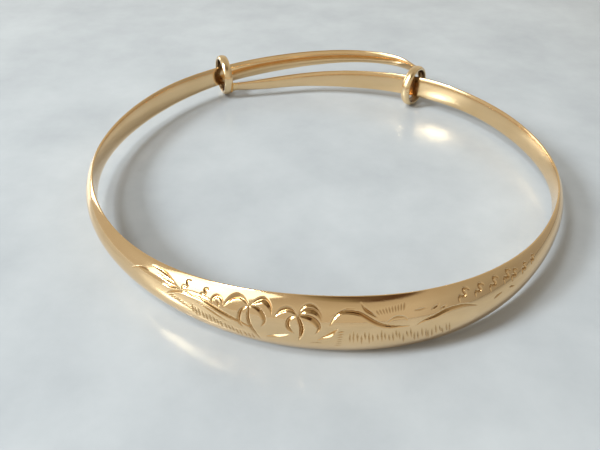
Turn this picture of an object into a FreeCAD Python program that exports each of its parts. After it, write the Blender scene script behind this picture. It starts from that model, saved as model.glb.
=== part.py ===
import FreeCAD, Part
import math
import os
from FreeCAD import Vector

# Adjustable bangle: one tapered strip bent round the wrist, wide and decorated at the
# front, whose two ends pass each other at the back.  Each end carries a collar that
# slides along the other end.  Millimetres.  The origin is the centre of the wrist
# opening, on the surface the bangle lies on, with the front towards -Y and +Z up.
# Angles are in degrees round the origin: 0 at the front, positive towards +X, so the
# left end runs past -180 and the right end past +180.

FRONT_WIDTH = 7.4
MID_HEIGHT = FRONT_WIDTH / 2
INNER_RADIUS = 32.0
EDGE_THICKNESS = 0.5

# Where the strip flexes: the front follows one body, each side arm its own.
FLEX_ANGLE = 95.0
FLEX_GAP = 0.3

COLLAR_RADIUS = 3.5
COLLAR_WALL = 0.8
COLLAR_WIDTH = 1.5
COLLAR_CROWN = 0.3
COLLAR_CORNER = 0.12

# Each collar's place: angle, distance from the origin, height of its middle, and the
# direction of its bore in degrees from +X.
LEFT_COLLAR = (-145.9, 35.0, COLLAR_RADIUS, 205.0)
RIGHT_COLLAR = (151.8, 31.0, COLLAR_RADIUS, 148.0)

SECTION_STEP = 6.0
LEFT_TIP = -208.0
RIGHT_TIP = 214.0
ARM_CLEARANCE = 1.0

# Each solder fillet: the angle where its arm meets the collar, and how many degrees it
# reaches back along the arm.
LEFT_SOLDER = (-206.9, 3.4)
RIGHT_SOLDER = (213.2, -3.4)
# The fillet's flare: share of that reach, and how much larger it is than the arm there.
SOLDER_FLARE = [(1.0, 0.08), (0.6, 0.14), (0.2, 0.26), (-0.25, 0.36)]

# The strip, station by station: angle, inner radius, height of its middle above
# MID_HEIGHT, width, crown thickness, and lean of its top towards the wrist in degrees.
# The last station at each end lies inside the collar that the end is soldered to.
STATIONS = [
    (-210.0, 32.9, 1.0, 1.6, 0.95, 36.0),
    (-206.9, 33.5, 1.15, 1.7, 1.0, 28.0),
    (-202.0, 34.6, 1.5, 1.95, 1.05, 13.0),
    (-196.0, 35.25, 1.6, 2.1, 1.05, 3.0),
    (-180.0, 35.3, 1.1, 2.55, 1.1, 0.0),
    (-165.0, 34.85, 0.45, 3.0, 1.1, 0.0),
    (-146.0, 34.15, 0.05, 3.3, 1.15, 0.0),
    (-128.0, 33.4, -0.05, 3.8, 1.2, 0.0),
    (-110.0, 32.8, -0.05, 3.85, 1.2, 0.0),
    (-90.0, 32.6, 0.0, 3.6, 1.2, 0.0),
    (-60.0, 32.3, 0.0, 4.3, 1.4, 2.0),
    (-30.0, 32.05, 0.0, 5.65, 1.65, 5.0),
    (-12.0, 32.05, 0.08, 6.85, 1.8, 6.0),
    (3.0, 32.1, 0.08, 7.4, 1.85, 6.0),
    (15.0, 32.25, -0.02, 7.4, 1.85, 6.0),
    (30.0, 32.3, -0.1, 6.85, 1.8, 6.0),
    (45.0, 32.1, 0.0, 5.7, 1.55, 4.0),
    (60.0, 31.8, 0.05, 4.5, 1.3, 1.0),
    (75.0, 31.8, 0.0, 3.8, 1.2, 0.0),
    (90.0, 31.75, 0.0, 3.5, 1.2, 0.0),
    (110.0, 31.2, 0.0, 3.5, 1.2, 0.0),
    (130.0, 30.75, 0.0, 3.45, 1.2, 0.0),
    (150.0, 30.3, -0.15, 3.65, 1.15, 0.0),
    (165.0, 29.9, -0.45, 3.4, 1.1, 0.0),
    (180.0, 29.8, -0.8, 3.0, 1.1, 0.0),
    (195.0, 29.9, -1.1, 2.3, 1.1, 0.0),
    (205.0, 30.35, -1.4, 2.05, 1.05, 10.0),
    (212.0, 31.5, -1.65, 1.75, 1.0, 25.0),
    (216.0, 32.4, -1.75, 1.65, 0.95, 30.0),
]


def spline_over_angle(column):
    """A smooth curve of one column of STATIONS, with the angle as its parameter."""
    curve = Part.BSplineCurve()
    curve.interpolate(
        Points=[Vector(row[0], row[column], 0) for row in STATIONS],
        Parameters=[row[0] for row in STATIONS])
    return curve


PROFILES = [spline_over_angle(column) for column in (1, 2, 3, 4, 5)]


def outward(angle):
    """Unit vector from the origin towards the strip at this angle."""
    turn = math.radians(angle)
    return Vector(math.sin(turn), -math.cos(turn), 0)


def strip_section(angle, swell=0.0):
    """The strip's D section at this angle: flat towards the wrist, domed outside, with
    thin square edges.  swell makes it that much larger on every side."""
    radius, rise, width, crown, lean = [curve.value(angle).y for curve in PROFILES]
    lean = math.radians(lean)
    out = outward(angle)
    thick = out * math.cos(lean) + Vector(0, 0, math.sin(lean))
    tall = out * -math.sin(lean) + Vector(0, 0, math.cos(lean))
    middle = out * radius + Vector(0, 0, MID_HEIGHT + rise) - thick * swell
    half = width / 2 + swell
    low_in = middle - tall * half
    high_in = middle + tall * half
    low_out = low_in + thick * (EDGE_THICKNESS + 2 * swell)
    high_out = high_in + thick * (EDGE_THICKNESS + 2 * swell)
    crest = middle + thick * (crown + 2 * swell)
    return Part.Wire([
        Part.makeLine(low_in, high_in),
        Part.makeLine(high_in, high_out),
        Part.Arc(high_out, crest, low_out).toShape(),
        Part.makeLine(low_out, low_in),
    ])


def strip_length(start, end):
    """The strip between two angles, as one solid."""
    count = max(2, math.ceil(abs(end - start) / SECTION_STEP))
    angles = [start + (end - start) * i / count for i in range(count + 1)]
    return Part.makeLoft([strip_section(a) for a in angles], True, False)


def collar_frame(place):
    """Middle and bore direction of a collar."""
    angle, distance, height, direction = place
    turn = math.radians(direction)
    bore = Vector(math.cos(turn), math.sin(turn), 0)
    return outward(angle) * distance + Vector(0, 0, height), bore


def along_bore(shape, place):
    """Moves a shape made along +X at the origin to a collar's place."""
    middle, bore = collar_frame(place)
    shape.Placement = FreeCAD.Placement(middle, FreeCAD.Rotation(Vector(1, 0, 0), bore))
    return shape


def collar(place):
    """A short round tube with a slightly domed outside and rounded corners."""
    half = COLLAR_WIDTH / 2
    inner = COLLAR_RADIUS - COLLAR_WALL
    shoulder = COLLAR_RADIUS - COLLAR_CROWN
    corner = COLLAR_CORNER
    bend = corner * (1 - math.sqrt(0.5))

    def at(x, r):
        return Vector(x, r, 0)

    def bow(*points):
        return Part.Arc(*points).toShape()

    profile = Part.Wire([
        Part.makeLine(at(-half + corner, inner), at(half - corner, inner)),
        bow(at(half - corner, inner), at(half - bend, inner + bend), at(half, inner + corner)),
        Part.makeLine(at(half, inner + corner), at(half, shoulder - corner)),
        bow(at(half, shoulder - corner), at(half - bend, shoulder - bend),
            at(half - corner, shoulder)),
        bow(at(half - corner, shoulder), at(0, COLLAR_RADIUS), at(-half + corner, shoulder)),
        bow(at(-half + corner, shoulder), at(-half + bend, shoulder - bend),
            at(-half, shoulder - corner)),
        Part.makeLine(at(-half, shoulder - corner), at(-half, inner + corner)),
        bow(at(-half, inner + corner), at(-half + bend, inner + bend), at(-half + corner, inner)),
    ])
    return along_bore(Part.Face(profile).revolve(Vector(0, 0, 0), Vector(1, 0, 0), 360), place)


def disc(radius, length, place):
    """A plain cylinder round a collar's axis, centred on the collar."""
    return along_bore(
        Part.makeCylinder(radius, length, Vector(-length / 2, 0, 0), Vector(1, 0, 0)), place)


def arm(start, tip, place):
    """A side arm, cut square where it meets the face of the collar it carries."""
    return strip_length(start, tip).cut(disc(COLLAR_RADIUS + ARM_CLEARANCE, COLLAR_WIDTH, place))


def solder(spot, place, arm_solid, collar_solid):
    """The fillet of solder that joins an arm's tip to its collar."""
    tip, reach = spot
    sections = [strip_section(tip + share * reach, swell) for share, swell in SOLDER_FLARE]
    bore = disc(COLLAR_RADIUS - COLLAR_WALL / 2, 3 * COLLAR_WIDTH, place)
    return Part.makeLoft(sections, True, False).cut(collar_solid).cut(arm_solid).cut(bore)


def largest_solid(shape):
    """The one solid wanted from a cut, without the slivers beside it."""
    return max(shape.Solids, key=lambda solid: solid.Volume)


flex_half_angle = math.degrees(FLEX_GAP / 2 / INNER_RADIUS)
left_collar = collar(LEFT_COLLAR)
right_collar = collar(RIGHT_COLLAR)
left_arm = arm(-FLEX_ANGLE - flex_half_angle, LEFT_TIP, RIGHT_COLLAR)
right_arm = arm(FLEX_ANGLE + flex_half_angle, RIGHT_TIP, LEFT_COLLAR)

pieces = {
    "front_band": strip_length(-FLEX_ANGLE + flex_half_angle, FLEX_ANGLE - flex_half_angle),
    "left_arm": left_arm,
    "right_arm": right_arm,
    "left_collar": left_collar,
    "right_collar": right_collar,
    "left_arm_solder": solder(LEFT_SOLDER, RIGHT_COLLAR, left_arm, right_collar),
    "right_arm_solder": solder(RIGHT_SOLDER, LEFT_COLLAR, right_arm, left_collar),
}

os.makedirs("parts", exist_ok=True)
for name, piece in pieces.items():
    solid = largest_solid(piece)
    solid.exportStep("parts/" + name + ".step")
    box = solid.BoundBox
    print(name, solid.isValid(), len(piece.Solids), "volume %.1f" % solid.Volume,
          "x %.2f %.2f" % (box.XMin, box.XMax), "y %.2f %.2f" % (box.YMin, box.YMax),
          "z %.2f %.2f" % (box.ZMin, box.ZMax))
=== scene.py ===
"""Looks of the adjustable gold bangle: engraved strip, two ring collars, two soldered tips.

The bangle's sizes and the camera's place are in millimetres, turned into metres by MM. The origin
is the centre of the wrist opening, on the surface the bangle lies on. Angles go round the opening
in degrees, 0 at the engraved front (-Y) and positive towards +X. A place on the front is (x, y): x
is the distance round the outside from the middle of the front, y the height above the strip's
middle.
"""
import math

import bpy
import numpy as np
from mathutils import Matrix, Vector


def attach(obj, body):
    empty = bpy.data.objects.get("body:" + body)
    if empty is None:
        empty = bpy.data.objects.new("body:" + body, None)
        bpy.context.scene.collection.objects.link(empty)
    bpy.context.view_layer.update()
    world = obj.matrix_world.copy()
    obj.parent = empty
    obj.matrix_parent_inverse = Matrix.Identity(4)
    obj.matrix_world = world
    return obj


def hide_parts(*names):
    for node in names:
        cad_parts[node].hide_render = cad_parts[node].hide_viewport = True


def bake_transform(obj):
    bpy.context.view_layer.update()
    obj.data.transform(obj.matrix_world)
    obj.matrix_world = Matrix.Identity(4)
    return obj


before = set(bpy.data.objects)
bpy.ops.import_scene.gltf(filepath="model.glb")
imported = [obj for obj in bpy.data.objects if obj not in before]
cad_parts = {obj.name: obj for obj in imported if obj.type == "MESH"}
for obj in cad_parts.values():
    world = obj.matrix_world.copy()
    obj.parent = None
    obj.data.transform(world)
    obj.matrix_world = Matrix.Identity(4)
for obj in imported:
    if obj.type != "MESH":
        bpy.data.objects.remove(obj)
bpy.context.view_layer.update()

MM = 0.001

# ---------------------------------------------------------------- sizes of the strip

MID_HEIGHT = 3.7
OUTER_RADIUS = 33.3      # outside of the engraved front, used to measure along it
LEFT_TIP = -208.0
RIGHT_TIP = 214.0
SEAM = 2.4               # where the two halves of the strip's mesh meet, on a plain spot
ENGRAVED_LEFT = -76.0
ENGRAVED_RIGHT = 62.0
FINE_STEP = 0.125        # degrees between columns where the strip is engraved
COARSE_STEP = 0.8
DOME_ROWS = 90           # rows of points over the domed outside
DOME_SHARE = 0.985       # share of the dome's sweep that they cover, up to its edges
FRONT_LAND = 0.18        # thickness of the strip's flat upper and lower edges at the front
SIDE_LAND = 0.5          # and at the sides and the back
SIDE_START = 60          # degrees from the front where the section starts to change
SIDE_FULL = 90           # and where it is that of the sides
EDGE_ROUNDING = 0.1      # radius where the edges meet the domed outside
INSIDE_ROUNDING = 0.12   # radius where they meet the inside
INSIDE_RELIEF = 0.3      # how far the inside falls back towards its edges, away from the front
TIP_ROUNDING = 0.5
POLISH_WAVE = 0.012      # height of the waviness that hand polishing leaves
SHADE_ATTRIBUTE = "cut"              # vertex attribute: how much painted shade the gold takes there, in cuts and collars' insides, from 0 to 1
FULL_SHADE_DEPTH = 0.08        # a cut this deep or deeper takes the full painted shade
PLAIN_EDGE = 0.14        # nothing is engraved nearer than this to the strip's edges
PLAIN_FADE = 0.2         # and the cuts reach their full depth this much further in
SOLDER_LENGTH = 2.2      # degrees of the strip's end that the solder covers

# angle, inner radius, mid height above MID_HEIGHT, width, crown thickness, lean towards the wrist
STATIONS = [
    (-210.0, 32.9, 1.0, 1.6, 0.95, 36.0),
    (-206.9, 33.5, 1.15, 1.7, 1.0, 28.0),
    (-202.0, 34.6, 1.5, 1.95, 1.05, 13.0),
    (-196.0, 35.25, 1.6, 2.1, 1.05, 3.0),
    (-180.0, 35.3, 1.1, 2.55, 1.1, 0.0),
    (-165.0, 34.85, 0.45, 3.0, 1.1, 0.0),
    (-146.0, 34.15, 0.05, 3.3, 1.15, 0.0),
    (-128.0, 33.4, -0.05, 3.8, 1.2, 0.0),
    (-110.0, 32.8, -0.05, 3.85, 1.2, 0.0),
    (-90.0, 32.6, 0.0, 3.6, 1.2, 0.0),
    (-60.0, 32.3, 0.0, 4.3, 1.4, 2.0),
    (-30.0, 32.05, 0.0, 5.65, 1.65, 5.0),
    (-12.0, 32.05, 0.08, 6.85, 1.8, 6.0),
    (3.0, 32.1, 0.08, 7.4, 1.85, 6.0),
    (15.0, 32.25, -0.02, 7.4, 1.85, 6.0),
    (30.0, 32.3, -0.1, 6.85, 1.8, 6.0),
    (45.0, 32.1, 0.0, 5.7, 1.55, 4.0),
    (60.0, 31.8, 0.05, 4.5, 1.3, 1.0),
    (75.0, 31.8, 0.0, 3.8, 1.2, 0.0),
    (90.0, 31.75, 0.0, 3.5, 1.2, 0.0),
    (110.0, 31.2, 0.0, 3.5, 1.2, 0.0),
    (130.0, 30.75, 0.0, 3.45, 1.2, 0.0),
    (150.0, 30.3, -0.15, 3.65, 1.15, 0.0),
    (165.0, 29.9, -0.45, 3.4, 1.1, 0.0),
    (180.0, 29.8, -0.8, 3.0, 1.1, 0.0),
    (195.0, 29.9, -1.1, 2.3, 1.1, 0.0),
    (205.0, 30.35, -1.4, 2.05, 1.05, 10.0),
    (212.0, 31.5, -1.65, 1.75, 1.0, 25.0),
    (216.0, 32.4, -1.75, 1.65, 0.95, 30.0),
]

# ---------------------------------------------------------------- sizes of the collars

COLLAR_RADIUS = 3.5
COLLAR_WALL = 0.8
COLLAR_WIDTH = 1.5
COLLAR_DENT = 0.012
# angle round the opening, distance from its centre, height, heading of the bore
LEFT_COLLAR = (-145.9, 35.0, COLLAR_RADIUS, 205.0)
RIGHT_COLLAR = (151.8, 31.0, COLLAR_RADIUS, 148.0)


# ---------------------------------------------------------------- curves

def natural_spline(knots, values):
    """Returns a function: the natural cubic spline through values at knots."""
    knots, values = np.asarray(knots, float), np.asarray(values, float)
    gap = np.diff(knots)
    rise = np.diff(values) / gap
    count = len(knots)
    system = np.eye(count)
    target = np.zeros(count)
    for i in range(1, count - 1):
        system[i, i - 1] = gap[i - 1]
        system[i, i] = 2 * (gap[i - 1] + gap[i])
        system[i, i + 1] = gap[i]
        target[i] = 6 * (rise[i] - rise[i - 1])
    bend = np.linalg.solve(system, target)

    def value(at):
        at = np.asarray(at, float)
        i = np.clip(np.searchsorted(knots, at) - 1, 0, count - 2)
        left, right, width = at - knots[i], knots[i + 1] - at, gap[i]
        return (bend[i] * right ** 3 + bend[i + 1] * left ** 3) / (6 * width) + \
            (values[i] / width - bend[i] * width / 6) * right + \
            (values[i + 1] / width - bend[i + 1] * width / 6) * left

    return value


def smooth_path(points, count=28):
    """A smooth curve through a few given points, as count points along it."""
    points = np.array(points, float)
    if len(points) == 2:
        steps = np.linspace(0, 1, count)[:, None]
        return points[0] * (1 - steps) + points[1] * steps
    lengths = np.hypot(*np.diff(points, axis=0).T)
    knots = np.concatenate([[0], np.cumsum(lengths)])
    at = np.linspace(0, knots[-1], count)
    return np.stack([natural_spline(knots, points[:, k])(at) for k in (0, 1)], axis=1)


ANGLES = [station[0] for station in STATIONS]
RADIUS, HEIGHT, WIDTH, CROWN, LEAN = [
    natural_spline(ANGLES, [station[k] for station in STATIONS]) for k in range(1, 6)]


# ---------------------------------------------------------------- engraving

class Engraving:
    """Depth cut into the outside of the strip at many (x, y) places at once."""

    def __init__(self, x, y):
        self.x, self.y = x, y
        self.depth = np.zeros_like(x)
        self.painted_shade_depth = np.zeros_like(x)

    def cut(self, points, width, slant=0.0, start=0.0, end=0.0, belly=0.5, steep=1.15,
            flat=False):
        """A graver's cut along a smooth path.

        width is its full width at the widest place, which is belly of the way along; start and
        end are the share of that width left at its ends. slant moves the bottom of the cut to one
        side, as a tilted graver does; flat gives the cut straight walls, which flash. The other
        cuts also take painted shade, darker where they are deeper.
        """
        path = smooth_path(points)
        t = np.linspace(0, 1, len(path))
        rise = np.where(t < belly, t / max(belly, 1e-6), (1 - t) / max(1 - belly, 1e-6))
        ends = np.where(t < belly, start, end)
        half = width / 2 * (ends + (1 - ends) * np.sin(rise * math.pi / 2))
        low, high = path.min(0) - width, path.max(0) + width
        near = np.flatnonzero((self.x > low[0]) & (self.x < high[0]) &
                              (self.y > low[1]) & (self.y < high[1]))
        if not len(near):
            return
        place = np.stack([self.x[near], self.y[near]], axis=1)
        first, run = path[:-1], np.diff(path, axis=0)
        offset = place[:, None, :] - first[None]
        along = np.clip((offset * run).sum(2) / (run ** 2).sum(1), 0, 1)
        gap = offset - along[..., None] * run
        distance = np.hypot(gap[..., 0], gap[..., 1])
        nearest = distance.argmin(1)
        pick = np.arange(len(near)), nearest
        side = np.sign(run[nearest, 0] * gap[pick][:, 1] - run[nearest, 1] * gap[pick][:, 0])
        share = along[pick]
        reach = half[:-1][nearest] * (1 - share) + half[1:][nearest] * share
        across = side * distance[pick] / np.maximum(reach, 1e-4)
        wall = np.where(across < slant, (across + 1) / (slant + 1), (1 - across) / (1 - slant))
        wall = np.clip(wall, 0, 1)
        depth = reach * steep * (wall if flat else wall ** 2 * (3 - 2 * wall))
        self.depth[near] = np.maximum(self.depth[near], depth)
        # cuts that are not flat also record their depth, for the painted shade in them
        if not flat:
            self.painted_shade_depth[near] = np.maximum(self.painted_shade_depth[near], depth)


def palm(plate, crown, fronds, trunk, trunk_width):
    """A palm of curved fronds that start at its crown, and a trunk that thins downwards.

    Each frond is its width, the slant of its cut, and the steps of its path from the crown.
    """
    x, y = crown
    plate.cut([(x + a, y + b) for a, b in trunk], trunk_width, -0.45, start=0.6, belly=0.4)
    for width, slant, steps in fronds:
        plate.cut([(x, y)] + [(x + a, y + b) for a, b in steps], width, slant, start=0.2,
                  belly=0.5, steep=0.8)


def bird(plate, x, y, size, lean, width):
    """A flying bird: two hooked wings, one above the other, in one stroke."""
    stroke = [(0.28, 0.50), (-0.02, 0.44), (-0.12, 0.24), (0.16, 0.08), (0.10, -0.06),
              (-0.18, -0.14), (-0.26, -0.34), (-0.10, -0.54)]
    plate.cut([(x + size * (a * math.cos(lean) - b * math.sin(lean)),
                y + size * (a * math.sin(lean) + b * math.cos(lean))) for a, b in stroke],
              width, 0.2, start=0.6, end=0.5)


def engrave(x, y):
    """The tropical shore round the front: hill, birds, two palms, wave, sun and water."""
    plate = Engraving(x, y)
    chance = np.random.default_rng(7)

    # hill at the left: one lone arc, then lines that sweep together to its top
    plate.cut([(-23.4, 0.6), (-22.5, 1.25), (-21.5, 1.6), (-20.2, 1.65)], 0.26, belly=0.7)
    plate.cut([(-19.4, 2.75), (-17.6, 2.8), (-15.4, 2.7)], 0.18)
    for left, rise, lift in [(-20.3, 2.3, 0.35), (-19.2, 1.85, 0.15), (-18.1, 1.3, 0.0)]:
        plate.cut([(left, rise), ((left - 15.4) / 2, (rise + 1.5) / 2 + lift), (-15.4, 1.5)],
                  0.36, belly=0.5)
    plate.cut([(-17.4, 0.3), (-16.3, 1.0), (-15.3, 1.3), (-14.2, 1.35)], 0.3, 0.2)
    ridge = [(-16.3, 1.0), (-15.3, 1.35), (-14.0, 1.42), (-12.7, 1.38), (-11.4, 1.1),
             (-9.0, 0.4), (-7.8, 0.1), (-6.7, -0.3), (-5.4, -1.05)]
    plate.cut(ridge, 0.5, 0.4, start=0.2, belly=0.5)
    plate.cut([(-15.1, 1.62), (-13.4, 1.78), (-12.1, 1.74), (-11.2, 1.68)], 0.26)
    plate.cut([(-13.6, 1.1), (-12.0, 0.75), (-10.2, 0.1), (-8.2, -0.6)], 0.22)

    # grass on the hill, short strokes, and shade under its ridge
    for k in range(10):
        base = -16.8 + 0.36 * k
        plate.cut([(base, 0.35 - 0.07 * k), (base + 0.8, 0.75 - 0.1 * k)], 0.2, start=0.4)
    for k in range(17):
        base = -13.6 + 0.44 * k + chance.uniform(-0.06, 0.06)
        top = 0.4 - 0.11 * k + chance.uniform(-0.1, 0.1)
        plate.cut([(base, top), (base + 0.2, top - 1.0 - chance.uniform(0, 0.3))], 0.26,
                  start=0.5, end=0.2)

    # birds over the hill
    bird(plate, -14.85, 2.15, 1.2, -0.25, 0.34)
    bird(plate, -12.4, 2.1, 1.1, -0.3, 0.34)
    plate.cut([(-9.9, 1.6), (-10.3, 2.15), (-10.9, 2.2), (-11.3, 1.7), (-11.0, 1.05)], 0.42, 0.2,
              start=0.3)
    plate.cut([(-10.9, 1.9), (-10.5, 1.55), (-10.3, 1.1)], 0.3)

    # the two palms and the ground between them
    palm(plate, (-7.0, 2.1),
         [(0.62, 0.5, [(-0.8, 0.6), (-1.7, 0.6), (-2.4, 0.1), (-2.9, -0.8)]),
          (0.55, -0.45, [(-0.65, -0.35), (-0.95, -1.1), (-0.9, -2.0), (-0.2, -2.8)]),
          (0.66, 0.5, [(0.8, 0.5), (1.5, 0.7), (2.15, 0.35), (2.55, -0.7)]),
          (0.6, 0.45, [(0.9, -0.1), (1.5, -0.6), (1.75, -1.2), (1.3, -2.2)])],
         [(0.0, -0.1), (0.0, -1.0), (0.25, -2.0), (0.75, -3.0), (1.5, -4.3)], 0.5)
    palm(plate, (-1.7, 1.85),
         [(0.66, 0.5, [(-0.6, 0.5), (-1.3, 0.6), (-1.95, 0.3), (-2.55, -0.5)]),
          (0.6, -0.45, [(-0.7, -0.25), (-1.0, -0.9), (-0.75, -1.6), (-0.1, -2.1)]),
          (0.40, 0.3, [(0.5, 0.85), (1.3, 1.1), (2.0, 0.8), (2.65, -0.3)]),
          (0.62, 0.5, [(0.6, 0.42), (1.4, 0.6), (2.05, 0.3), (2.5, -0.5)]),
          (0.72, 0.45, [(1.0, -0.05), (1.75, -0.4), (2.2, -1.1), (1.7, -2.0)])],
         [(0.05, -0.1), (0.35, -0.75), (0.5, -1.6), (0.35, -2.5), (0.1, -3.3)], 0.6)
    plate.cut([(-4.9, -1.25), (-3.8, -0.95), (-2.6, -0.5)], 0.48, 0.6, start=0.5, end=0.4,
              steep=1.9, flat=True)
    plate.cut([(0.5, -0.9), (1.4, -0.4), (2.0, 0.1), (2.5, 0.75)], 0.54, 0.6, start=0.4,
              end=0.3, steep=1.9, flat=True)
    plate.cut([(-0.6, -1.6), (0.3, -1.4), (1.2, -1.5)], 0.2)
    for k in range(7):
        base = 0.3 - 0.36 * k
        plate.cut([(2.4 - 0.05 * k, base), (3.2 - 0.02 * k, base + 0.14)], 0.2)

    # the wave that runs from the palms to the sun, and the second crest behind it
    plate.cut([(1.7, 1.2), (2.2, 2.0), (2.8, 2.4), (3.9, 2.45), (4.8, 2.27), (5.5, 1.87),
               (6.3, 1.36), (7.2, 0.95), (8.7, 0.72), (10.3, 0.66)], 0.5, 0.4, start=0.4,
              belly=0.5)
    plate.cut([(1.3, 1.9), (2.3, 2.3), (3.4, 2.75), (4.6, 2.7)], 0.16)
    plate.cut([(4.9, 3.2), (5.4, 2.66), (6.0, 2.27), (6.7, 1.75)], 0.42, -0.3, start=0.2,
              belly=0.4)

    # the sun, low over the water, with its fan of rays
    plate.cut([(7.7, 1.4), (8.3, 1.75), (9.0, 1.77), (9.5, 1.6), (9.8, 1.2)], 0.22, start=0.3)
    for k in range(10):
        share = k / 9
        foot = (6.8 + 2.6 * share, 2.1 + 0.25 * share)
        plate.cut([foot, (foot[0] - 0.4 + 0.65 * share, foot[1] + 0.55 + 0.22 * share)], 0.23,
                  start=0.4, steep=0.8)

    # the second shore line, towards the right side, and the strokes above it
    plate.cut([(10.6, 0.57), (11.6, 0.95), (12.8, 1.16), (13.9, 1.45), (15.2, 1.54), (16.4, 1.44),
               (18.0, 0.9)], 0.42, 0.3, start=0.15, end=0.25, belly=0.4)
    plate.cut([(10.2, 2.1), (11.6, 2.2), (12.4, 2.15)], 0.18)
    plate.cut([(12.3, 1.9), (13.5, 2.35)], 0.22)
    plate.cut([(13.4, 1.8), (14.3, 2.05)], 0.22)
    plate.cut([(20.3, 0.65), (21.9, 0.95)], 0.24)
    plate.cut([(22.8, 1.0), (24.1, 0.6)], 0.24)

    # glitter on the water, upright strokes in loose groups
    for k in range(28):
        base = 3.7 + 0.4 * k + chance.uniform(-0.08, 0.08)
        top = 0.3 - 0.02 * k + 0.3 * math.sin(1.7 * k) + chance.uniform(-0.15, 0.15)
        plate.cut([(base, top), (base + 0.08 + 0.014 * k, top - 1.0 - chance.uniform(0, 0.9))],
                  0.28 - 0.002 * k, start=0.3, end=0.2)

    # the flight of birds up the right side
    for x0, y0, size in [(16.5, 2.45, 1.5), (18.6, 2.32, 1.4), (20.8, 2.2, 1.55),
                         (23.0, 2.15, 1.45), (24.2, 1.85, 1.3), (26.2, 1.7, 1.2),
                         (28.2, 1.75, 1.0)]:
        bird(plate, x0, y0, size, -0.75, 0.36)
    return plate.depth, plate.painted_shade_depth


# ---------------------------------------------------------------- strip

def rounded(corners, radii, steps=5):
    """Rounds each corner of many open outlines at once: corners is columns x corners x 2.

    The first and last corners, and those with no radius, stay as they are.
    """
    rows = [corners[:, 0]]
    for k in range(1, corners.shape[1] - 1):
        here = corners[:, k]
        if not radii[k]:
            rows.append(here)
            continue
        back, ahead = corners[:, k - 1] - here, corners[:, k + 1] - here
        back_length = np.linalg.norm(back, axis=1, keepdims=True)
        ahead_length = np.linalg.norm(ahead, axis=1, keepdims=True)
        radius = np.minimum(radii[k], 0.45 * np.minimum(back_length, ahead_length))
        start = here + back / back_length * radius
        stop = here + ahead / ahead_length * radius
        for t in np.linspace(0, 1, steps):
            rows.append(start * (1 - t) ** 2 + here * 2 * t * (1 - t) + stop * t ** 2)
    rows.append(corners[:, -1])
    return np.stack(rows, axis=1)


def strip_outline(angles):
    """Section outline at each angle as (out, up) from the middle of the inner face.

    It runs up the domed outside, over the upper edge, down the inside and under the lower edge.
    """
    half = WIDTH(angles) / 2
    crown = CROWN(angles)
    away = np.clip((np.abs(angles) - SIDE_START) / (SIDE_FULL - SIDE_START), 0, 1)
    away = away ** 2 * (3 - 2 * away)
    land = FRONT_LAND + (SIDE_LAND - FRONT_LAND) * away
    bulge = crown - land
    bend = (half ** 2 + bulge ** 2) / (2 * bulge)
    sweep = np.arcsin(half / bend)
    turn = np.linspace(-DOME_SHARE, DOME_SHARE, DOME_ROWS)[None, :] * sweep[:, None]
    up = bend[:, None] * np.sin(turn)
    out = (crown - bend)[:, None] + bend[:, None] * np.cos(turn)
    inside = [(INSIDE_RELIEF * away * abs(share) ** 3, share * half)
              for share in (1, 0.85, 0.7, 0.45, 0, -0.45, -0.7, -0.85, -1)]
    edge = [(out[:, -1], up[:, -1]), (land, half)] + inside + \
        [(land, -half), (out[:, 0], up[:, 0])]
    corners = np.stack([np.stack(corner, axis=1) for corner in edge], axis=1)
    radii = [0, EDGE_ROUNDING, INSIDE_ROUNDING]
    edges = rounded(corners, radii + [0] * (len(inside) - 2) + radii[::-1])
    return np.concatenate([np.stack([out, up], axis=2), edges[:, 1:-1]], axis=1)


def unevenness(angles, rows):
    """The waviness that hand polishing leaves, as a share of POLISH_WAVE."""
    wave = np.zeros((len(angles), rows))
    chance = np.random.default_rng(3)
    waves = 14
    for _ in range(waves):
        along, across = chance.uniform(4, 26), chance.uniform(-3, 3)
        phase = chance.uniform(0, 2 * math.pi)
        wave += np.sin(np.radians(angles)[:, None] * along +
                       np.linspace(0, 1, rows)[None, :] * across + phase) / waves
    return wave


def strip_points(angles):
    """Points of the strip's surface, columns x rows x 3, before any engraving."""
    outline = strip_outline(angles)
    turn, lean = np.radians(angles), np.radians(LEAN(angles))
    outward = np.stack([np.sin(turn), -np.cos(turn), 0 * turn], axis=1)
    upward = np.array([0, 0, 1.0])
    thick = outward * np.cos(lean)[:, None] + upward * np.sin(lean)[:, None]
    tall = -outward * np.sin(lean)[:, None] + upward * np.cos(lean)[:, None]
    centre = outward * RADIUS(angles)[:, None] + upward * (MID_HEIGHT + HEIGHT(angles))[:, None]
    return (centre[:, None, :] + outline[:, :, 0:1] * thick[:, None, :] +
            outline[:, :, 1:2] * tall[:, None, :]), outline


def grid_normals(points):
    """Outward normals of a surface given as columns x rows, closed round its rows."""
    along = np.gradient(points, axis=0)
    across = np.roll(points, -1, axis=1) - np.roll(points, 1, axis=1)
    normal = np.cross(along, across)
    return normal / np.maximum(np.linalg.norm(normal, axis=2, keepdims=True), 1e-9)


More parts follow.
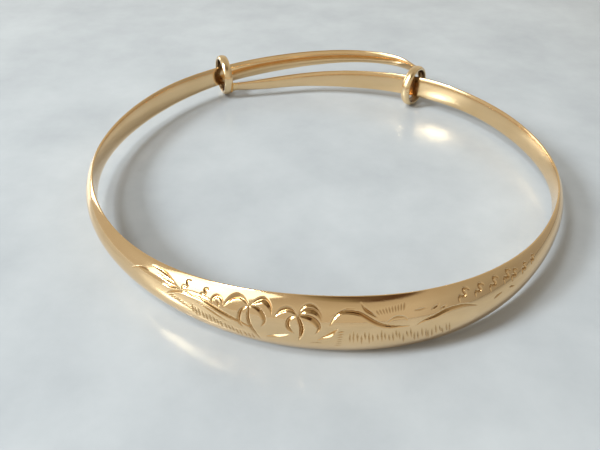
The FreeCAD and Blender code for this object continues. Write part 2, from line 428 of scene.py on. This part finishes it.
def strip_half(name, angles, tip_at_start):
    """One half of the strip as an engraved closed mesh with a rounded tip."""
    points, outline = strip_points(angles)
    rows = points.shape[1]
    shade = np.zeros(points.shape[:2])
    normal = grid_normals(points)
    points = points + normal * (POLISH_WAVE * unevenness(angles, rows))[:, :, None]

    y = outline[:, :DOME_ROWS, 1]
    x = np.repeat(np.radians(angles)[:, None] * OUTER_RADIUS, DOME_ROWS, axis=1)
    depth, painted_shade_depth = (part.reshape(x.shape) for part in engrave(x.ravel(), y.ravel()))
    fade = np.clip((WIDTH(angles)[:, None] / 2 - PLAIN_EDGE - np.abs(y)) / PLAIN_FADE, 0, 1)
    points[:, :DOME_ROWS] -= normal[:, :DOME_ROWS] * (depth * fade)[:, :, None]
    # painted shade in the cuts, darker where they are deeper
    shade[:, :DOME_ROWS] = np.clip(painted_shade_depth * fade / FULL_SHADE_DEPTH, 0, 1)

    tip = angles[0] if tip_at_start else angles[-1]
    away = np.radians(np.abs(angles - tip)) * RADIUS(angles)
    share = np.clip(away / TIP_ROUNDING, 0, 1)
    shrink = np.sqrt(np.maximum(1 - (1 - share) ** 2, 0.02))
    middle = points.mean(1, keepdims=True)
    points = middle + (points - middle) * shrink[:, None, None]
    piece = grid_mesh(name, points)
    painted_shade = piece.data.attributes.new(SHADE_ATTRIBUTE, "FLOAT", "POINT")
    painted_shade.data.foreach_set("value", np.concatenate([shade.ravel(), shade[0], shade[-1]]))
    return piece


def placed_mesh(name, points, faces):
    """A smooth-shaded piece from points in millimetres."""
    mesh = bpy.data.meshes.new(name)
    mesh.from_pydata((points * MM).tolist(), [], faces)
    mesh.update()
    for polygon in mesh.polygons:
        polygon.use_smooth = True
    piece = bpy.data.objects.new(name, mesh)
    bpy.context.scene.collection.objects.link(piece)
    return piece


def grid_mesh(name, points):
    """A tube of columns x rows, closed round its rows and capped at both ends.

    Each cap has its own copy of the rim, so it doesn't bend the light near the rim.
    """
    columns, rows = points.shape[:2]
    index = np.arange(columns * rows).reshape(columns, rows)
    a, b = index[:-1], index[1:]
    faces = np.stack([a, b, np.roll(b, -1, 1), np.roll(a, -1, 1)], axis=2).reshape(-1, 4)
    vertices = np.concatenate([points.reshape(-1, 3), points[0], points[-1]])
    first = columns * rows
    caps = [list(range(first, first + rows)),
            list(range(first + 2 * rows - 1, first + rows - 1, -1))]
    piece = placed_mesh(name, vertices, faces.tolist() + caps)
    for cap in (len(faces), len(faces) + 1):
        piece.data.polygons[cap].use_smooth = False
    return piece


def inside_takes_second_material(piece, rows):
    """The faces of the strip's inside and edges take the piece's second material."""
    upper_bevel, lower_bevel = 4, 6
    sides = np.tile(np.arange(rows), len(piece.data.polygons) // rows)
    for polygon, side in zip(piece.data.polygons, sides):
        if DOME_ROWS + upper_bevel <= side < rows - lower_bevel:
            polygon.material_index = 1


def columns(start, stop):
    """Angles from start to stop, close together where the strip is engraved."""
    angles = []
    for low, high, step in [(start, min(stop, ENGRAVED_LEFT), COARSE_STEP),
                            (max(start, ENGRAVED_LEFT), min(stop, ENGRAVED_RIGHT), FINE_STEP),
                            (max(start, ENGRAVED_RIGHT), stop, COARSE_STEP)]:
        if high > low:
            angles += list(np.linspace(low, high, int(round((high - low) / step)) + 1)[:-1])
    return np.array(angles + [stop])


def with_tip(angles, at_start):
    """More columns over the last half millimetre, for the rounded tip."""
    extra = np.array([0.05, 0.15, 0.3, 0.5, 0.7, 0.9])
    tip = angles[0] if at_start else angles[-1]
    more = tip + extra if at_start else tip - extra
    rest = angles[np.abs(angles - tip) > 1.0]
    return np.sort(np.concatenate([[tip], more, rest]))


# ---------------------------------------------------------------- collars and solder

def collar_axes(place):
    """Centre and three directions of a collar: along its bore, sideways and up."""
    angle, distance, height, heading = place
    turn, bore = math.radians(angle), math.radians(heading)
    centre = np.array([distance * math.sin(turn), -distance * math.cos(turn), height])
    along = np.array([math.cos(bore), math.sin(bore), 0.0])
    side = np.array([-math.sin(bore), math.cos(bore), 0.0])
    return centre, along, side, np.array([0.0, 0.0, 1.0])


def collar(name, place, seed):
    """A short ring of half-round wire, slightly uneven, with painted shade on its rounded inside.
    """
    centre, along, side, up = collar_axes(place)
    half = COLLAR_WIDTH / 2
    steps = 28
    profile = []
    for k in range(steps):
        turn = 2 * math.pi * k / steps
        x, y = math.cos(turn), math.sin(turn)
        power = 1.0 if y > 0 else 0.75
        profile.append((half * math.copysign(abs(x) ** power, x),
                        COLLAR_RADIUS - COLLAR_WALL / 2 +
                        COLLAR_WALL / 2 * math.copysign(abs(y) ** power, y)))
    chance = np.random.default_rng(seed)
    phases = chance.uniform(0, 2 * math.pi, 4)
    rounds = 120
    points = np.zeros((rounds, steps, 3))
    dark = np.zeros((rounds, steps))
    for i in range(rounds):
        turn = 2 * math.pi * i / rounds
        dent = sum(COLLAR_DENT * math.sin((k + 2) * turn + phases[k]) for k in range(4))
        out = side * math.cos(turn) + up * math.sin(turn)
        for j, (x, r) in enumerate(profile):
            points[i, j] = centre + along * x + out * (r + dent)
            # the rounded inside is marked for painted shade
            dark[i, j] = r < COLLAR_RADIUS - 0.75 * COLLAR_WALL
    index = np.arange(rounds * steps).reshape(rounds, steps)
    a, b = index, np.roll(index, -1, 0)
    faces = np.stack([a, np.roll(a, -1, 1), np.roll(b, -1, 1), b], axis=2).reshape(-1, 4)
    piece = placed_mesh(name, points.reshape(-1, 3), faces.tolist())
    shade = piece.data.attributes.new(SHADE_ATTRIBUTE, "FLOAT", "POINT")
    shade.data.foreach_set("value", dark.ravel())
    return piece


def solder(name, tip, back):
    """The fillet that joins a tip to its collar: the strip's end, flaring into the ring."""
    angles = np.linspace(tip, back, 24)
    points, _ = strip_points(angles)
    share = np.abs(angles - tip) / abs(back - tip)
    flare = 1.02 + 0.45 * (1 - share) ** 2.5 - 0.3 * share ** 6
    middle = points.mean(1, keepdims=True)
    points = middle + (points - middle) * flare[:, None, None]
    if back < tip:
        points = points[::-1]
    return grid_mesh(name, points)


# ---------------------------------------------------------------- materials

BUMP_DEPTH = 0.00002     # metres


def nodes_of(material):
    """The material's nodes and links."""
    material.use_nodes = True
    return material.node_tree.nodes, material.node_tree.links


def noise(nodes, links, vector, scale, detail):
    """A noise texture read at vector."""
    texture = nodes.new("ShaderNodeTexNoise")
    texture.inputs["Scale"].default_value = scale
    texture.inputs["Detail"].default_value = detail
    links.new(vector, texture.inputs["Vector"])
    return texture


def ramp(nodes, links, factor, low, low_colour, high, high_colour):
    """A colour ramp driven by factor, between a colour at low and one at high."""
    colours = nodes.new("ShaderNodeValToRGB")
    stops = colours.color_ramp.elements
    stops[0].position = low
    stops[0].color = (*low_colour, 1)
    stops[1].position = high
    stops[1].color = (*high_colour, 1)
    links.new(factor, colours.inputs["Fac"])
    return colours


def map_range(nodes, links, value, low, high, to_low=0.0, to_high=1.0):
    """value taken from the range low to high into to_low to to_high."""
    mapping = nodes.new("ShaderNodeMapRange")
    mapping.inputs["From Min"].default_value = low
    mapping.inputs["From Max"].default_value = high
    mapping.inputs["To Min"].default_value = to_low
    mapping.inputs["To Max"].default_value = to_high
    links.new(value, mapping.inputs["Value"])
    return mapping


def mix_colours(nodes, links, factor, first, second=None):
    """A mix from the colour first to second, which may be set later on input 7."""
    mixed = nodes.new("ShaderNodeMix")
    mixed.data_type = "RGBA"
    links.new(factor, mixed.inputs[0])
    links.new(first, mixed.inputs[6])
    if second:
        links.new(second, mixed.inputs[7])
    return mixed


def bump_of(nodes, links, height, strength, under=None):
    """A bump BUMP_DEPTH high, on top of the bump node under it."""
    bump = nodes.new("ShaderNodeBump")
    bump.inputs["Strength"].default_value = strength
    bump.inputs["Distance"].default_value = BUMP_DEPTH
    links.new(height, bump.inputs["Height"])
    if under:
        links.new(under.outputs["Normal"], bump.inputs["Normal"])
    return bump


def gold(name, colour, roughness, scratch, grain, painted_shade=(0.46, 0.25, 0.08), painted_shade_strength=0.7):
    """Polished gold: slight change of tone and gloss, fine scratches in many directions, painted
    shade in cuts and hollows.

    The dark colour given after the grain is painted shade that the cuts and a collar's inside take;
    the number after it says how far they take it.
    """
    material = bpy.data.materials.new(name)
    nodes, links = nodes_of(material)
    shader = nodes["Principled BSDF"]
    shader.inputs["Metallic"].default_value = 1.0
    place = nodes.new("ShaderNodeTexCoord")

    tone = noise(nodes, links, place.outputs["Object"], 220.0, 3.0)
    darker = (colour[0] * 0.95, colour[1] * 0.93, colour[2] * 0.88)
    tint = ramp(nodes, links, tone.outputs["Fac"], 0.3, darker, 0.7, colour)
    # painted shade: the attribute darkens the colour towards the dark shade colour
    cut = nodes.new("ShaderNodeAttribute")
    cut.attribute_name = SHADE_ATTRIBUTE
    amount = nodes.new("ShaderNodeMath")
    amount.operation = "MULTIPLY"
    amount.inputs[1].default_value = painted_shade_strength
    links.new(cut.outputs["Fac"], amount.inputs[0])
    painted_shade_mix = mix_colours(nodes, links, amount.outputs["Value"], tint.outputs["Color"])
    painted_shade_mix.inputs[7].default_value = (*painted_shade, 1)
    links.new(painted_shade_mix.outputs[2], shader.inputs["Base Color"])

    smear = noise(nodes, links, place.outputs["Object"], 900.0, 5.0)
    gloss = map_range(nodes, links, smear.outputs["Fac"], 0.3, 0.75,
                      roughness * 0.8, roughness * 1.5)
    links.new(gloss.outputs["Result"], shader.inputs["Roughness"])

    # fine scratches: three stretched noises at different turns, and a fine grain
    last = None
    for k, turn in enumerate((0.3, 1.4, 2.5)):
        stretch = nodes.new("ShaderNodeMapping")
        stretch.inputs["Rotation"].default_value = (0.6 * k, 0.4 + turn, turn)
        stretch.inputs["Scale"].default_value = (250.0, 9000.0, 9000.0)
        links.new(place.outputs["Object"], stretch.inputs["Vector"])
        line = noise(nodes, links, stretch.outputs["Vector"], 1.0, 2.0)
        last = bump_of(nodes, links, line.outputs["Fac"], scratch, last)
    fine = noise(nodes, links, place.outputs["Object"], 5000.0, 3.0)
    pits = bump_of(nodes, links, fine.outputs["Fac"], grain, last)
    links.new(pits.outputs["Normal"], shader.inputs["Normal"])
    return material


def floor_material():
    """Pale glossy surface with faint mottling, in shade away to the right."""
    material = bpy.data.materials.new("pale_floor")
    nodes, links = nodes_of(material)
    shader = nodes["Principled BSDF"]
    place = nodes.new("ShaderNodeTexCoord")
    cloud = noise(nodes, links, place.outputs["Object"], 60.0, 8.0)
    cloud.inputs["Roughness"].default_value = 0.6
    tint = ramp(nodes, links, cloud.outputs["Fac"],
                0.25, (0.36, 0.375, 0.395), 0.75, (0.475, 0.49, 0.505))
    split = nodes.new("ShaderNodeSeparateXYZ")
    links.new(place.outputs["Object"], split.inputs["Vector"])
    away = map_range(nodes, links, split.outputs["X"], 0.045, 0.13, 0.0, 0.6)
    shaded = mix_colours(nodes, links, away.outputs["Result"], tint.outputs["Color"])
    shaded.inputs[7].default_value = (0.10, 0.09, 0.075, 1)
    links.new(shaded.outputs[2], shader.inputs["Base Color"])
    shader.inputs["Roughness"].default_value = 0.22
    return material


# ---------------------------------------------------------------- stage, light and camera

def floor():
    """The surface that the bangle lies on, a hair below it."""
    size = 0.9
    mesh = bpy.data.meshes.new("floor")
    mesh.from_pydata([(-size, -size, 0), (size, -size, 0), (size, size, 0), (-size, size, 0)],
                     [], [(0, 1, 2, 3)])
    piece = bpy.data.objects.new("floor", mesh)
    bpy.context.scene.collection.objects.link(piece)
    piece.location.z = -0.03 * MM
    mesh.materials.append(floor_material())


def panel(name, azimuth, elevation, distance, size, power, colour):
    """A soft light panel. azimuth goes from the front (-Y), positive towards +X."""
    data = bpy.data.lights.new(name, "AREA")
    data.shape = "RECTANGLE"
    data.size, data.size_y = size
    data.energy = power
    data.color = colour
    light = bpy.data.objects.new(name, data)
    turn, rise = math.radians(azimuth), math.radians(elevation)
    light.location = (distance * math.cos(rise) * math.sin(turn),
                      -distance * math.cos(rise) * math.cos(turn), distance * math.sin(rise))
    aim = Vector((0, 0, 0)) - light.location
    light.rotation_euler = aim.to_track_quat("-Z", "Y").to_euler()
    light.visible_camera = False
    bpy.context.scene.collection.objects.link(light)


def surroundings():
    """Pale room, dimmer to the right, with a patchy dim area high in front where someone stands."""
    world = bpy.data.worlds.new("room")
    bpy.context.scene.world = world
    world.use_nodes = True
    nodes, links = world.node_tree.nodes, world.node_tree.links
    background = nodes["Background"]
    background.inputs["Strength"].default_value = 1.0
    place = nodes.new("ShaderNodeTexCoord")
    toward = nodes.new("ShaderNodeVectorMath")
    toward.operation = "DOT_PRODUCT"
    toward.inputs[1].default_value = Vector((0.20, -0.30, 0.93)).normalized()
    links.new(place.outputs["Generated"], toward.inputs[0])
    patches = noise(nodes, links, place.outputs["Generated"], 2.2, 1.0)
    someone = ramp(nodes, links, patches.outputs["Fac"],
                   0.42, (0.10, 0.055, 0.03), 0.58, (0.32, 0.28, 0.19))
    high = map_range(nodes, links, toward.outputs["Value"], 0.92, 0.945)
    split = nodes.new("ShaderNodeSeparateXYZ")
    links.new(place.outputs["Generated"], split.inputs["Vector"])
    walls = ramp(nodes, links, split.outputs["Z"],
                 0.0, (0.60, 0.56, 0.49), 0.5, (0.60, 0.57, 0.49))
    ceiling = walls.color_ramp.elements.new(0.85)
    ceiling.color = (0.46, 0.41, 0.33, 1)
    right = map_range(nodes, links, split.outputs["X"], 0.6, 0.95, 1.0, 0.6)
    shaded = nodes.new("ShaderNodeVectorMath")
    shaded.operation = "SCALE"
    links.new(walls.outputs["Color"], shaded.inputs[0])
    links.new(right.outputs["Result"], shaded.inputs["Scale"])
    mixed = mix_colours(nodes, links, high.outputs["Result"], shaded.outputs["Vector"],
                        someone.outputs["Color"])
    links.new(mixed.outputs[2], background.inputs["Color"])


CAMERA_PLACE = (1.54, -80.73, 54.32)
CAMERA_TARGET = (-3.01, -10.33, 0.0)
CAMERA_ROLL = 0.38       # degrees
CAMERA_LENS = 39.02


def camera():
    """The camera, where it sees the bangle as the eye above and in front of it does."""
    data = bpy.data.cameras.new("camera")
    data.lens = CAMERA_LENS
    data.sensor_width = 36.0
    data.clip_start = 0.001
    piece = bpy.data.objects.new("camera", data)
    bpy.context.scene.collection.objects.link(piece)
    place, target = Vector(CAMERA_PLACE) * MM, Vector(CAMERA_TARGET) * MM
    turn = (target - place).to_track_quat("-Z", "Y").to_matrix().to_4x4()
    piece.matrix_world = Matrix.Translation(place) @ turn @ Matrix.Rotation(
        math.radians(CAMERA_ROLL), 4, "Z")
    bpy.context.scene.camera = piece


# ---------------------------------------------------------------- putting it together

# the dark brown that each gold takes in its cuts is painted shade
GOLD_OUTSIDE = gold("gold_outside", (0.88, 0.635, 0.365), 0.08, 0.06, 0.02)
GOLD_INSIDE = gold("gold_inside", (0.86, 0.62, 0.35), 0.14, 0.08, 0.03)
# the collars' near-black brown is painted shade on their insides
GOLD_COLLAR = gold("gold_collar", (0.90, 0.69, 0.42), 0.20, 0.08, 0.03,
                   painted_shade=(0.16, 0.09, 0.04), painted_shade_strength=0.9)
GOLD_SOLDER = gold("gold_solder", (0.90, 0.66, 0.35), 0.20, 0.06, 0.06)

left_angles = with_tip(columns(LEFT_TIP, SEAM), True)
right_angles = with_tip(columns(SEAM, RIGHT_TIP), False)
band_left = strip_half("band_left", left_angles, True)
band_right = strip_half("band_right", right_angles, False)
section_rows = strip_outline(np.array([0.0])).shape[1]
for band in (band_left, band_right):
    band.data.materials.append(GOLD_OUTSIDE)
    band.data.materials.append(GOLD_INSIDE)
    inside_takes_second_material(band, section_rows)
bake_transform(band_left)
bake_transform(band_right)
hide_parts("front_band", "left_arm")
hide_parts("right_arm")

ring_left = collar("ring_left", LEFT_COLLAR, 1)
ring_right = collar("ring_right", RIGHT_COLLAR, 2)
for ring, body, node in [(ring_left, "right_side", "left_collar"),
                         (ring_right, "left_side", "right_collar")]:
    ring.data.materials.append(GOLD_COLLAR)
    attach(ring, body)
    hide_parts(node)

fillet_left = solder("fillet_left", LEFT_TIP, LEFT_TIP + SOLDER_LENGTH)
fillet_right = solder("fillet_right", RIGHT_TIP, RIGHT_TIP - SOLDER_LENGTH)
for fillet, body, node in [(fillet_left, "left_side", "left_arm_solder"),
                           (fillet_right, "right_side", "right_arm_solder")]:
    fillet.data.materials.append(GOLD_SOLDER)
    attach(fillet, body)
    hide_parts(node)

floor()
surroundings()
panel("key_window", -66, 36, 0.9, (0.18, 0.20), 7.2, (0.84, 0.94, 1.0))
panel("high_window", -70, 61, 0.9, (0.18, 0.22), 3.4, (0.86, 0.95, 1.0))
panel("front_window", -59, 36, 0.9, (0.62, 0.80), 3.2, (0.88, 0.96, 1.0))
panel("back_window", -131, 15, 0.9, (0.34, 0.34), 1.2, (0.90, 0.96, 1.0))
bpy.context.scene.view_settings.view_transform = "Standard"
camera()
